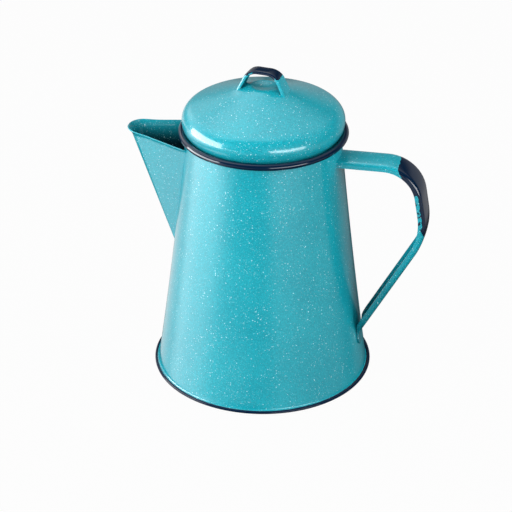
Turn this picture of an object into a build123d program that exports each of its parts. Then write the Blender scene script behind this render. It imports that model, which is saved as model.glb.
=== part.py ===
"""Enamelled camping coffee percolator: pot, lid and the loose percolator works inside it.

Millimetres. +Z is up and the origin is the middle of the base's underside. The spout points
along -X and the handle along +X.
"""
import os
from math import cos, pi, radians, sin, sqrt, tan

from build123d import *

# ---------------------------------------------------------------- driving sizes
# sheet metal, enamel included
body_sheet = 0.8
base_sheet = 0.7
spout_sheet = 0.8
strap_sheet = 1.0
lid_sheet = 0.8
lid_strap_sheet = 0.8
works_sheet = 0.7

# pot body: a slightly waisted cone with a flared foot and a curled rim
foot_r = 80.0
foot_flare_r = 2.0
seam_lap = 1.4
foot_ledge = 3.6
wall_low_z = 6.0
wall_top_r = 54.65
wall_top_z = 182.7
wall_waist = 0.9
rim_flare_r = 4.0
rim_flare_turn = 73.5
rim_curl_r = 1.9
rim_curl_turn = 272.0

# spout: a half cone pressed from sheet, open at the top, with a flared nose
spout_low_z = 86.0
spout_full_drop = 5.7
spout_tip_r = 97.4
spout_nose_r = 11.2
spout_half_angle = 21.5
spout_back_depth = 15.0
spout_floor_height = 14.0
spout_flare_height = 5.0
spout_flare = 1.0
spout_nose_flare = 1.0
spout_rim_drop = 7.2
spout_rim_rise = 3.3

# pouring holes in the wall behind the spout
pour_hole_r = 1.8
pour_hole_rows = 6
pour_hole_step_angle = 7.0
pour_hole_step_z = 9.0
pour_hole_drop = 13.7

# handle: a channel bent from strap, edges turned in
handle_width = 22.0
handle_depth = 4.6
handle_edge_r = 2.2
handle_root_drop = 9.3
handle_top_slope = 1.7
handle_reach = 111.7
handle_grip_drop = 54.1
handle_grip_out = 9.7
handle_foot_z = 33.6
handle_root_depth = 14.0
handle_top_bend_r = 27.8
handle_low_bend_r = 49.0
handle_tab_width = 14.0
handle_tab_below = 9.6
handle_tab_above = 5.4

# lid
lid_overhang = 2.65
lid_shoulder_r = 11.0
lid_waist_r = 13.0
lid_waist_angle = 48.0
lid_cone_angle = 20.3
lid_flat_r = 9.5
lid_flat_bend_r = 4.0
lid_lip_bend_r = 0.8
lid_lip_drop = 2.5
lid_collar_height = 13.0
lid_collar_lap = 3.0
lid_turn = -5.7

# lid strap
lid_strap_width = 12.0
lid_strap_depth = 2.2
lid_strap_edge_r = 1.0
lid_strap_rise = 12.9
lid_strap_half_top = 10.65
lid_strap_bend_r = 11.0
lid_strap_leg_angle = 64.2
lid_strap_root_drop = 8.0

# percolator works
tube_r = 4.5
tube_wall = 0.6
tube_top_z = 196.0
pump_foot_r = 35.0
pump_foot_slope = 20.0
pump_foot_bend_r = 6.0
pump_neck_length = 9.0
pump_inlet_r = 2.0
pump_inlet_count = 6
stop_ring_wall = 2.5
stop_ring_height = 4.0
basket_floor_z = 118.0
basket_r = 41.0
basket_height = 48.0
basket_corner_r = 5.0
basket_rim_width = 2.4
sleeve_wall = 0.8
sleeve_flange_width = 4.0
sleeve_height = 36.0
sieve_hole_r = 1.1
sieve_ring_pitch = 5.2
spreader_lip_drop = 3.0
spreader_hole_r = 1.3
spreader_collar_height = 3.0

# clearances
seam_gap = 0.1
standing_gap = 0.3
sliding_gap = 0.3
spreader_side_gap = 0.6

# ---------------------------------------------------------------- shared geometry
wall_low_r = foot_r - foot_ledge
wall_mid_z = (wall_low_z + wall_top_z) / 2
wall_mid_r = (wall_low_r + wall_top_r) / 2 - wall_waist
wall_line = ThreePointArc(
    (wall_low_r - body_sheet / 2, wall_low_z),
    (wall_mid_r - body_sheet / 2, wall_mid_z),
    (wall_top_r - body_sheet / 2, wall_top_z),
)
wall_foot_direction = wall_line % 0
flange_z = base_sheet + body_sheet / 2
flange_corner_r = wall_line.position_at(0).X
flange_corner_r -= (wall_low_z - flange_z) * wall_foot_direction.X / wall_foot_direction.Y

rim_flare_line = JernArc(wall_line @ 1, wall_line % 1, rim_flare_r, -rim_flare_turn)
rim_curl_line = JernArc(rim_flare_line @ 1, rim_flare_line % 1, rim_curl_r, -rim_curl_turn)

# the lid rests with its waist on the flare of the pot's rim
lid_r = wall_top_r + lid_overhang
lid_waist_x = lid_r - lid_waist_r
rim_centre = rim_flare_line.arc_center
lid_seat_reach = lid_waist_r + rim_flare_r + body_sheet / 2 + standing_gap
lid_wide_z = rim_centre.Y + sqrt(lid_seat_reach**2 - (rim_centre.X - lid_waist_x) ** 2)
lid_shoulder_x = lid_r - lid_shoulder_r
lid_shoulder_line_r = lid_shoulder_r - lid_sheet / 2
lid_waist_line_r = lid_waist_r - lid_sheet / 2
lid_cone_low = (
    lid_shoulder_x + lid_shoulder_line_r * sin(radians(lid_cone_angle)),
    lid_wide_z + lid_shoulder_line_r * cos(radians(lid_cone_angle)),
)
lid_cone_top_z = lid_cone_low[1] + (lid_cone_low[0] - lid_flat_r) * tan(radians(lid_cone_angle))

spout_rim_z = wall_top_z - spout_rim_drop
spout_full_z = wall_top_z - spout_full_drop
spout_flare_z = spout_full_z - spout_flare_height
spout_back_r = wall_top_r - spout_back_depth
handle_root_z = wall_top_z - handle_root_drop

works_base_z = base_sheet + standing_gap
sleeve_bore_r = tube_r + sliding_gap
sleeve_r = sleeve_bore_r + sleeve_wall
stop_ring_top_z = basket_floor_z - works_sheet - standing_gap
basket_rim_z = basket_floor_z + basket_height


def wall_r(z):
    """Outer radius of the pot's wall at height z."""
    share = (z - wall_low_z) / (wall_top_z - wall_low_z)
    straight = wall_low_r + (wall_top_r - wall_low_r) * share
    return straight - 4 * wall_waist * share * (1 - share)


def channel_section(path, side, width, depth, sheet, edge_r):
    """Channel section at the start of a path, with its flat outer face on the path."""
    half = width / 2 - sheet / 2
    with BuildSketch(Plane(origin=path @ 0, x_dir=side, z_dir=path % 0)) as section:
        with BuildLine():
            FilletPolyline(
                (-half, -depth),
                (-half, -sheet / 2),
                (half, -sheet / 2),
                (half, -depth),
                radius=edge_r - sheet / 2,
            )
        trace(line_width=sheet)
    return section.sketch


def sieve(inner_r, outer_r, hole_r, low_z, high_z):
    """Rings of round holes about the axis, as one cutter."""
    ring_count = int((outer_r - inner_r) / sieve_ring_pitch) + 1
    with BuildPart() as cutter:
        for ring in range(ring_count):
            ring_r = inner_r + ring * sieve_ring_pitch
            with BuildSketch(Plane.XY.offset(low_z)):
                with PolarLocations(ring_r, int(2 * pi * ring_r / sieve_ring_pitch)):
                    Circle(hole_r)
            extrude(amount=high_z - low_z)
    return cutter.part


def spout_outline(z, inset):
    """Plan of the spout at height z, a rounded V whose open end lies inside the pot."""
    spout_low_r = wall_r(spout_low_z)
    scale = (z - spout_low_z) / (spout_full_z - spout_low_z)
    flare = max(0, (z - spout_flare_z) / (spout_full_z - spout_flare_z))
    angle = radians(spout_half_angle)
    nose_r = spout_nose_r * scale - inset + spout_flare * flare
    nose_x = spout_low_r + (spout_tip_r - spout_nose_r - spout_low_r) * scale
    nose_x += spout_nose_flare * flare
    back_x = spout_low_r + (spout_back_r - spout_low_r) * scale
    side = (nose_x + nose_r * sin(angle), nose_r * cos(angle))
    back_y = side[1] + (side[0] - back_x) * tan(angle)
    with BuildSketch(Plane.XY.offset(z)) as outline:
        with BuildLine():
            Line((-back_x, -back_y), (-side[0], -side[1]))
            ThreePointArc((-side[0], -side[1]), (-nose_x - nose_r, 0), (-side[0], side[1]))
            Line((-side[0], side[1]), (-back_x, back_y))
            Line((-back_x, back_y), (-back_x, -back_y))
        make_face()
    return outline.sketch


# ---------------------------------------------------------------- pot
with BuildPart() as pot_body:
    with BuildSketch(Plane.XZ):
        with BuildLine():
            FilletPolyline(
                (foot_r - base_sheet - seam_gap, flange_z),
                (flange_corner_r, flange_z),
                (wall_line.position_at(0).X, wall_low_z),
                radius=foot_flare_r,
            )
            add(wall_line)
            add(rim_flare_line)
            add(rim_curl_line)
        trace(line_width=body_sheet)
    revolve(axis=Axis.Z)

# the pot's outside, filled in: what is welded on is cut to it
with BuildPart() as pot_envelope:
    add(pot_body.part)
    with BuildSketch(Plane.XZ):
        with BuildLine():
            add(wall_line)
            Polyline(
                wall_line @ 1,
                (0, wall_top_z),
                (0, flange_z),
                (flange_corner_r, flange_z),
                wall_line @ 0,
            )
        make_face()
    revolve(axis=Axis.Z)

with pot_body:
    for row_holes in range(1, pour_hole_rows + 1):
        hole_z = wall_top_z - pour_hole_drop - (pour_hole_rows - row_holes) * pour_hole_step_z
        for column in range(row_holes):
            angle = radians((column - (row_holes - 1) / 2) * pour_hole_step_angle)
            outward = (-cos(angle), sin(angle), 0)
            with BuildSketch(Plane(origin=(0, 0, hole_z), x_dir=(0, 0, 1), z_dir=outward)):
                Circle(pour_hole_r)
            extrude(amount=foot_r, mode=Mode.SUBTRACT)
pot_body.part.label = "pot_body"

with BuildPart() as base_plate:
    with BuildSketch(Plane.XZ):
        with BuildLine():
            Polyline(
                (0, 0),
                (foot_r, 0),
                (foot_r, 2 * base_sheet + body_sheet),
                (foot_r - seam_lap, 2 * base_sheet + body_sheet),
                (foot_r - seam_lap, base_sheet + body_sheet),
                (foot_r - base_sheet, base_sheet + body_sheet),
                (foot_r - base_sheet, base_sheet),
                (0, base_sheet),
                (0, 0),
            )
        outline = make_face()
        fillet(outline.vertices().group_by(Axis.X)[-1], radius=base_sheet)
    revolve(axis=Axis.Z)
base_plate.part.label = "base_plate"

spout_top_z = spout_full_z + spout_full_z - spout_flare_z
with BuildPart() as spout_hollow:
    spout_floor_z = spout_low_z + spout_floor_height
    loft([spout_outline(z, spout_sheet) for z in (spout_floor_z, spout_flare_z, spout_top_z)], ruled=True)
with BuildPart() as spout:
    loft([spout_outline(z, 0) for z in (spout_low_z + 1, spout_flare_z, spout_top_z)], ruled=True)
    add(spout_hollow.part, mode=Mode.SUBTRACT)
    add(pot_envelope.part, mode=Mode.SUBTRACT)
    rim_normal = (sin(radians(spout_rim_rise)), 0, cos(radians(spout_rim_rise)))
    split(bisect_by=Plane(origin=(-wall_top_r, 0, spout_rim_z), z_dir=rim_normal), keep=Keep.BOTTOM)
spout.part.label = "spout"

# ---------------------------------------------------------------- handle
handle_root_r = wall_top_r / 2
grip_low_r = handle_reach + handle_grip_out
handle_corner_z = handle_root_z + (handle_reach - wall_top_r) * tan(radians(handle_top_slope))
grip_low_z = handle_corner_z - handle_grip_drop
arm_run = grip_low_r - wall_r(handle_foot_z)
arm_drop = grip_low_z - handle_foot_z
arm_share = 1 + handle_root_depth / sqrt(arm_run**2 + arm_drop**2)
with BuildLine(Plane.XZ) as handle_path:
    FilletPolyline(
        (handle_root_r, handle_root_z - (wall_top_r - handle_root_r) * tan(radians(handle_top_slope))),
        (handle_reach, handle_corner_z),
        (grip_low_r, grip_low_z),
        (grip_low_r - arm_run * arm_share, grip_low_z - arm_drop * arm_share),
        radius=(handle_top_bend_r, handle_low_bend_r),
    )
with BuildPart() as wall_jacket:
    with BuildSketch(Plane.XZ):
        trace(wall_line, line_width=body_sheet + 2 * strap_sheet)
    revolve(axis=Axis.Z)
with BuildPart() as handle_tab:
    with BuildSketch(Plane.YZ):
        with Locations((0, handle_foot_z + (handle_tab_above - handle_tab_below) / 2)):
            RectangleRounded(
                handle_tab_width, handle_tab_below + handle_tab_above, radius=handle_tab_width / 4
            )
    extrude(amount=foot_r)
    add(wall_jacket.part, mode=Mode.INTERSECT)
with BuildPart() as handle:
    sweep(
        sections=channel_section(
            handle_path.line, (0, 1, 0), handle_width, handle_depth, strap_sheet, handle_edge_r
        ),
        path=handle_path.line,
    )
    add(handle_tab.part)
    add(pot_envelope.part, mode=Mode.SUBTRACT)
handle.part.label = "handle"

# ---------------------------------------------------------------- lid
with BuildPart() as lid_dome:
    with BuildSketch(Plane.XZ):
        with BuildLine():
            FilletPolyline(
                (0, lid_cone_top_z),
                (lid_flat_r, lid_cone_top_z),
                lid_cone_low,
                radius=lid_flat_bend_r,
            )
            CenterArc(
                (lid_shoulder_x, lid_wide_z), lid_shoulder_line_r, 90 - lid_cone_angle, lid_cone_angle - 90
            )
            waist = CenterArc((lid_waist_x, lid_wide_z), lid_waist_line_r, 0, -lid_waist_angle)
            lip = JernArc(waist @ 1, waist % 1, lid_lip_bend_r, 90 - lid_waist_angle)
            Line(lip @ 1, (lip @ 1) - (0, lid_lip_drop))
        trace(line_width=lid_sheet)
    revolve(axis=Axis.Z)
lid_dome.part.label = "lid_dome"
lid_lip_low_z = (lip @ 1).Y - lid_lip_drop
lid_collar_r = (lip @ 1).X - lid_sheet / 2

with BuildPart() as lid_collar:
    with BuildSketch(Plane.XY.offset(lid_lip_low_z + lid_collar_lap - lid_collar_height)):
        Circle(lid_collar_r)
        Circle(lid_collar_r - lid_sheet, mode=Mode.SUBTRACT)
    extrude(amount=lid_collar_height)
lid_collar.part.label = "lid_collar"

with BuildPart() as lid_envelope:
    add(lid_dome.part)
    with BuildSketch(Plane.XZ):
        with BuildLine():
            Polyline(
                (0, lid_cone_top_z),
                (lid_flat_r, lid_cone_top_z),
                lid_cone_low,
                (lid_cone_low[0], lid_wide_z),
                (0, lid_wide_z),
                (0, lid_cone_top_z),
            )
        make_face()
    revolve(axis=Axis.Z)

turn = radians(lid_turn)
strap_plane = Plane(origin=(0, 0, 0), x_dir=(cos(turn), sin(turn), 0), z_dir=(sin(turn), -cos(turn), 0))
lid_strap_top_z = lid_cone_top_z + lid_strap_rise
lid_strap_root_z = lid_cone_top_z - lid_strap_root_drop
lid_strap_root_x = lid_strap_half_top
lid_strap_root_x += (lid_strap_top_z - lid_strap_root_z) / tan(radians(lid_strap_leg_angle))
with BuildLine(strap_plane) as strap_path:
    FilletPolyline(
        (-lid_strap_root_x, lid_strap_root_z),
        (-lid_strap_half_top, lid_strap_top_z),
        (lid_strap_half_top, lid_strap_top_z),
        (lid_strap_root_x, lid_strap_root_z),
        radius=lid_strap_bend_r,
    )
with BuildPart() as lid_strap:
    sweep(
        sections=channel_section(
            strap_path.line,
            (-sin(turn), cos(turn), 0),
            lid_strap_width,
            lid_strap_depth,
            lid_strap_sheet,
            lid_strap_edge_r,
        ),
        path=strap_path.line,
    )
    add(lid_envelope.part, mode=Mode.SUBTRACT)
lid_strap.part.label = "lid_strap"

# ---------------------------------------------------------------- pump
foot_line_z = works_base_z + works_sheet / 2
foot_inner_r = tube_r + works_sheet / 2
foot_neck_z = foot_line_z + (pump_foot_r - foot_inner_r) * tan(radians(pump_foot_slope))
with BuildPart() as pump_foot:
    with BuildSketch(Plane.XZ):
        with BuildLine():
            FilletPolyline(
                (pump_foot_r, foot_line_z),
                (foot_inner_r, foot_neck_z),
                (foot_inner_r, foot_neck_z + pump_neck_length),
                radius=pump_foot_bend_r,
            )
        trace(line_width=works_sheet)
    revolve(axis=Axis.Z)
    with BuildSketch():
        Circle(pump_foot_r + works_sheet)
    extrude(amount=works_base_z, mode=Mode.SUBTRACT)
    for inlet in range(pump_inlet_count):
        angle = 2 * pi * (inlet + 0.5) / pump_inlet_count
        outward = (cos(angle), sin(angle), 0)
        with BuildSketch(Plane(origin=(0, 0, works_base_z), x_dir=(0, 0, 1), z_dir=outward)):
            Circle(pump_inlet_r)
        extrude(amount=pump_foot_r + works_sheet, mode=Mode.SUBTRACT)
pump_foot.part.label = "pump_foot"

with BuildPart() as pump_tube:
    with BuildSketch(Plane.XY.offset(foot_neck_z)):
        Circle(tube_r)
        Circle(tube_r - tube_wall, mode=Mode.SUBTRACT)
    extrude(amount=tube_top_z - foot_neck_z)
pump_tube.part.label = "pump_tube"

with BuildPart() as stop_ring:
    with BuildSketch(Plane.XY.offset(stop_ring_top_z - stop_ring_height)):
        Circle(tube_r + stop_ring_wall)
        Circle(tube_r, mode=Mode.SUBTRACT)
    extrude(amount=stop_ring_height)
    outer_edges = stop_ring.edges().filter_by(GeomType.CIRCLE).group_by(SortBy.RADIUS)[-1]
    chamfer(outer_edges, length=stop_ring_wall / 4)
stop_ring.part.label = "stop_ring"

# ---------------------------------------------------------------- basket
floor_line_z = basket_floor_z - works_sheet / 2
with BuildPart() as basket_cup:
    with BuildSketch(Plane.XZ):
        with BuildLine():
            FilletPolyline(
                (sleeve_r + works_sheet / 2, floor_line_z),
                (basket_r, floor_line_z),
                (basket_r, basket_rim_z - works_sheet / 2),
                (basket_r + basket_rim_width, basket_rim_z - works_sheet / 2),
                radius=(basket_corner_r, works_sheet),
            )
        trace(line_width=works_sheet)
    with BuildSketch(Plane.XZ):
        with Locations((sleeve_r, floor_line_z)):
            Rectangle(works_sheet, works_sheet, align=(Align.MIN, Align.CENTER))
    revolve(axis=Axis.Z)
    add(
        sieve(
            sleeve_r + sleeve_flange_width + 2 * sieve_hole_r,
            basket_r - basket_corner_r,
            sieve_hole_r,
            basket_floor_z - 2 * works_sheet,
            basket_floor_z + works_sheet,
        ),
        mode=Mode.SUBTRACT,
    )
basket_cup.part.label = "basket_cup"

with BuildPart() as basket_sleeve:
    with BuildSketch(Plane.XY.offset(basket_floor_z - works_sheet)):
        Circle(sleeve_r)
        Circle(sleeve_bore_r, mode=Mode.SUBTRACT)
    extrude(amount=sleeve_height)
    with BuildSketch(Plane.XY.offset(basket_floor_z)):
        Circle(sleeve_r + sleeve_flange_width)
        Circle(sleeve_bore_r, mode=Mode.SUBTRACT)
    extrude(amount=works_sheet)
basket_sleeve.part.label = "basket_sleeve"

# ---------------------------------------------------------------- spreader
spreader_z = basket_rim_z + standing_gap
spreader_lip_r = basket_r - works_sheet - spreader_side_gap
spreader_line_z = spreader_z + works_sheet / 2
spreader_low_z = spreader_line_z - spreader_lip_drop
with BuildPart() as spreader:
    with BuildSketch(Plane.XZ):
        with BuildLine():
            FilletPolyline(
                (sleeve_r, spreader_low_z + spreader_collar_height),
                (sleeve_r, spreader_low_z),
                (spreader_lip_r, spreader_low_z),
                (spreader_lip_r, spreader_line_z),
                (basket_r + basket_rim_width, spreader_line_z),
                radius=works_sheet,
            )
        trace(line_width=works_sheet)
    revolve(axis=Axis.Z)
    add(
        sieve(
            sleeve_r + works_sheet + 2 * spreader_hole_r,
            spreader_lip_r - 2 * spreader_hole_r,
            spreader_hole_r,
            spreader_low_z - works_sheet,
            spreader_low_z + works_sheet,
        ),
        mode=Mode.SUBTRACT,
    )
spreader.part.label = "spreader"

# ---------------------------------------------------------------- files
pieces = (
    pot_body,
    base_plate,
    spout,
    handle,
    lid_dome,
    lid_collar,
    lid_strap,
    pump_foot,
    pump_tube,
    stop_ring,
    basket_cup,
    basket_sleeve,
    spreader,
)
os.makedirs("parts", exist_ok=True)
for piece in pieces:
    export_step(piece.part, f"parts/{piece.part.label}.step")
print("lid widest height", round(lid_wide_z, 2), "lid top", round(lid_strap_top_z, 2))
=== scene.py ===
"""Looks of the enamelled camping coffee percolator, built around its packed CAD frame.

Metres. +Z is up, the spout points along -X and the handle along +X.
"""
from math import atan2, ceil, copysign, cos, hypot, pi, radians, sin, sqrt, tan, tau

import bmesh
import bpy
from mathutils import Matrix, Vector, noise


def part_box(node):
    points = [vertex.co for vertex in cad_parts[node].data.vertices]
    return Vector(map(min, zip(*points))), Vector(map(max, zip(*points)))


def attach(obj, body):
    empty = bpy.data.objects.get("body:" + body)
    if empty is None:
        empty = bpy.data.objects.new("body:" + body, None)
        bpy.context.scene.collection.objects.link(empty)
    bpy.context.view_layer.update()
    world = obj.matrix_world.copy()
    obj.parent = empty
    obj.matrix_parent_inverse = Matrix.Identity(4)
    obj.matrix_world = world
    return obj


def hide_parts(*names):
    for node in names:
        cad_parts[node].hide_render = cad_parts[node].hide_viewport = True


bl_info = {
    "name": "Enamelled Coffee Percolator",
    "version": (1, 0, 0),
    "blender": (4, 5, 0),
    "location": "3D View > Sidebar > Percolator",
    "description": "Builds a speckled enamel camping percolator around its CAD frame",
    "category": "Add Mesh",
}

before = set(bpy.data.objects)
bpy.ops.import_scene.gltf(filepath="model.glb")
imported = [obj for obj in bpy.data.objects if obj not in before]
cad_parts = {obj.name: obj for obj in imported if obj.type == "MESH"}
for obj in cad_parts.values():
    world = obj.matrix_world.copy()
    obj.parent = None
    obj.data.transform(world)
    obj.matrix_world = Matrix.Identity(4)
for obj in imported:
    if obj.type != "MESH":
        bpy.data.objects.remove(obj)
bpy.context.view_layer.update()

MM = 0.001
ROUND_STEPS = 192
HAIR = MM / 1000  # too little to see: points this near are one, and the foot stays this far in

foot_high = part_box("base_plate")[1]
pot_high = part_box("pot_body")[1]
lid_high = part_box("lid_dome")[1]
collar_low, collar_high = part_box("lid_collar")
strap_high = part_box("lid_strap")[1]


# ---- properties
def length(name, description, default):
    """A size in metres."""
    return bpy.props.FloatProperty(
        name=name, description=description, default=default, unit="LENGTH", precision=5
    )


def turn(name, description, degrees):
    """An angle, given in degrees."""
    return bpy.props.FloatProperty(
        name=name, description=description, default=radians(degrees), subtype="ANGLE"
    )


def number(name, description, default):
    """A plain number."""
    return bpy.props.FloatProperty(name=name, description=description, default=default, precision=4)


def tint(name, description, colour):
    """A linear colour."""
    return bpy.props.FloatVectorProperty(
        name=name, description=description, default=colour, size=3, min=0, max=1, subtype="COLOR"
    )


class PotSizes(bpy.types.PropertyGroup):
    """Sizes of the pot's wall, its foot and its rim."""

    foot_r: length("Foot radius", "Outer radius of the foot seam", min(foot_high.x, foot_high.y) - HAIR)
    sheet: length("Sheet", "Thickness of the enamelled wall", 0.8 * MM)
    base_sheet: length("Base sheet", "Thickness of the base sheet", 0.7 * MM)
    seam_gap: length("Seam gap", "Clearance between the foot flange and the base's edge", 0.1 * MM)
    seam_lap: length("Seam lap", "How far the base sheet folds over the flange", 1.4 * MM)
    foot_ledge: length("Foot ledge", "How far the foot stands out past the wall", 3.6 * MM)
    foot_bend: length("Foot bend", "Radius of the bend above the flange", 2 * MM)
    wall_low_z: length("Wall start", "Height where the wall begins", 6 * MM)
    wall_top_r: length("Mouth radius", "Outer radius of the wall under the rim", 54.65 * MM)
    rim_height: length("Rim height", "Height of the rim above the wall's end", 4.65 * MM)
    wall_waist: length("Waist", "How far the wall bows inwards", 0.9 * MM)
    flare_r: length("Flare radius", "Radius of the flare under the rim", 4 * MM)
    flare_turn: turn("Flare turn", "How far the flare turns", 73.5)
    curl_r: length("Curl radius", "Radius of the curled rim", 1.9 * MM)
    curl_turn: turn("Curl turn", "How far the rim curls round", 272)
    hole_r: length("Pouring hole", "Radius of a pouring hole", 1.8 * MM)
    hole_rows: bpy.props.IntProperty(name="Hole rows", description="Rows of pouring holes", default=6)
    hole_step: length("Hole step", "Height between rows of holes", 9 * MM)
    hole_turn: turn("Hole turn", "Angle between holes in a row", 7)
    hole_drop: length("Hole drop", "Depth of the top row below the wall's end", 13.7 * MM)
    dent: length("Unevenness", "How far the pressed wall strays from true", 0.12 * MM)
    dent_span: length("Dent width", "Width of a shallow dent", 45 * MM)
    navy_drop: length("Navy drop", "How far below the flare the rim's navy begins", 0.1 * MM)
    navy_reach: length("Navy reach", "How far in from the foot's edge the wall is navy", 2 * MM)
    navy_shift: length("Navy shift", "How much further in that navy starts at the handle", 0.5 * MM)
    navy_wave: length("Navy wave", "Raggedness of the wall's navy edges", 0.4 * MM)
    base_navy: length("Base navy", "How far in from its edge the base is navy", 4 * MM)
    base_wave: length("Base wave", "Raggedness of the base's navy edge", 2 * MM)


class SpoutSizes(bpy.types.PropertyGroup):
    """Sizes of the half-cone spout."""

    sheet: length("Sheet", "Thickness of the spout", 0.8 * MM)
    low_z: length("Keel start", "Height where the keel leaves the wall", 86 * MM)
    full_drop: length("Full size drop", "Depth below the wall's end where it is full size", 5.7 * MM)
    tip_r: length("Reach", "Distance of the cone's keel from the axis at full size", 97.4 * MM)
    nose_r: length("Nose radius", "Radius of the nose at full size", 11.2 * MM)
    half_angle: turn("Half angle", "Angle of a side to the middle line", 21.5)
    rim_drop: length("Rim drop", "Depth of the spout's rim below the wall's end", 7.2 * MM)
    rim_rise: turn("Rim rise", "Slope of the spout's rim", 3.3)
    lip_height: length("Lip height", "Height of the turned lip", 4 * MM)
    side_lip: length("Side lip", "How far the lip turns out along the sides", 0.7 * MM)
    nose_lip: length("Nose lip", "How far the lip turns out at the nose", 1.6 * MM)
    lip_fade: length("Lip fade", "Distance from the wall over which the lip grows", 2 * MM)
    taper_run: length("Taper run", "Height over which the keel's sheet thickens", 14 * MM)
    # painted shade inside the spout darkens over this depth below its rim
    shade_depth: length("Painted shade depth", "Depth below the rim where the painted shade is darkest", 17 * MM)


class HandleSizes(bpy.types.PropertyGroup):
    """Sizes of the strap handle."""

    width: length("Width", "Width of the strap", 22 * MM)
    depth: length("Depth", "Depth of the turned edges", 4.6 * MM)
    sheet: length("Sheet", "Thickness of the strap", 1 * MM)
    edge_r: length("Edge radius", "Radius of the turned edges", 2.2 * MM)
    crown: length("Crown", "How much the outer face is crowned", 0.5 * MM)
    root_drop: length("Root drop", "Depth of the root below the wall's end", 9.3 * MM)
    top_slope: turn("Top slope", "Rise of the top arm", 1.7)
    reach: length("Reach", "Distance of the top corner from the axis", 111.64 * MM)
    grip_drop: length("Grip drop", "Height of the grip", 54.1 * MM)
    grip_out: length("Grip lean", "How far the grip leans out", 9.7 * MM)
    foot_z: length("Foot height", "Height where the low arm meets the wall", 33.6 * MM)
    top_bend: length("Top bend", "Radius of the top bend", 27.8 * MM)
    low_bend: length("Low bend", "Radius of the low bend", 49 * MM)
    foot_bend: length("Foot bend", "Radius of the bend onto the wall", 7 * MM)
    tab_width: length("Tab width", "Width of the tab on the wall", 14 * MM)
    tab_drop: length("Tab drop", "How far the tab runs down the wall", 9.6 * MM)
    narrow_run: length("Narrowing", "Height over which the strap narrows to its tab", 12 * MM)
    dip_x: length("Dip distance", "Distance from the axis of the dip's lower end", 117.6 * MM)
    dip_z: length("Dip height", "Height of the dip's lower end", 121 * MM)
    dip_wave: length("Dip wave", "Raggedness of the dip's edge", 3 * MM)
    covered_z: length("Covered height", "Height where the turned edges are all navy", 164 * MM)
    low_cover: number("Low cover", "How well the navy covers the turned edges", 1.38)
    high_cover: number("High cover", "How well it covers them from the covered height up", 2.2)
    # painted shade on the handle's low arm, darkening downwards from the dip's lower end
    arm_shade_run: length("Painted shade run", "Height over which the low arm's painted shade deepens", 60 * MM)
    arm_shade_most: number("Painted shade", "How dark the painted shade gets", 0.42)


class LidSizes(bpy.types.PropertyGroup):
    """Sizes of the domed lid and its collar."""

    radius: length("Radius", "Widest radius of the lid", lid_high.x)
    sheet: length("Sheet", "Thickness of the lid", 0.8 * MM)
    wide_z: length("Widest height", "Height of the widest line", 194.03 * MM)
    shoulder_r: length("Shoulder radius", "Radius of the rounded shoulder", 11 * MM)
    waist_r: length("Waist radius", "Radius of the lid's tuck under the shoulder", 13 * MM)
    waist_turn: turn("Waist turn", "How far the tuck turns in", 48)
    cone_angle: turn("Cone angle", "Slope of the lid's top", 20.3)
    dish_r: length("Dish radius", "Radius of the shallow dish under the strap", 9.5 * MM)
    dish_depth: length("Dish depth", "Depth of the shallow dish", 0.9 * MM)
    dish_ease: length("Dish ease", "Distance from the dish to the cone", 2 * MM)
    step_r: length("Step radius", "Radius of the low step round the lid's middle", 19.5 * MM)
    step_width: length("Step width", "Width of the low step", 7 * MM)
    step_rise: length("Step rise", "Height of the low step", 0.5 * MM)
    lip_bend: length("Lip bend", "Radius of the bend at the lip", 0.8 * MM)
    lip_drop: length("Lip drop", "Height of the upright lip", 2.5 * MM)
    turned: turn("Turned", "How far the lid is turned in the mouth", -5.7)
    dent: length("Unevenness", "How far the pressed lid strays from true", 0.3 * MM)
    dent_span: length("Dent width", "Width of a shallow dent", 24 * MM)


class StrapSizes(bpy.types.PropertyGroup):
    """Sizes of the strap pull on the lid."""

    top_width: length("Top width", "Width at the middle of the pull", 9.4 * MM)
    foot_width: length("Foot width", "Width at the feet", 13.6 * MM)
    depth: length("Depth", "Depth of the turned edges", 2.2 * MM)
    sheet: length("Sheet", "Thickness of the strap", 0.8 * MM)
    edge_r: length("Edge radius", "Radius of the turned edges", 1 * MM)
    top_z: length("Top height", "Height of the strap's outer face", strap_high.z)
    half_top: length("Half top", "Distance of a top corner from the axis", 10.65 * MM)
    bend: length("Bend", "Radius of the top bends", 11 * MM)
    leg_angle: turn("Leg angle", "Slope of the legs", 64.2)
    crown: length("Crown", "How much the outer face is crowned", 0.15 * MM)
    dip_depth: length("Dip depth", "Depth of the navy dip below the top", 4.2 * MM)
    dip_wave: length("Dip wave", "Raggedness of the dip's edge", 2 * MM)
    low_cover: number("Low cover", "How well the navy covers the turned edges", 1.5)
    high_cover: number("High cover", "How well it covers them at the top", 1.55)


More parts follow.
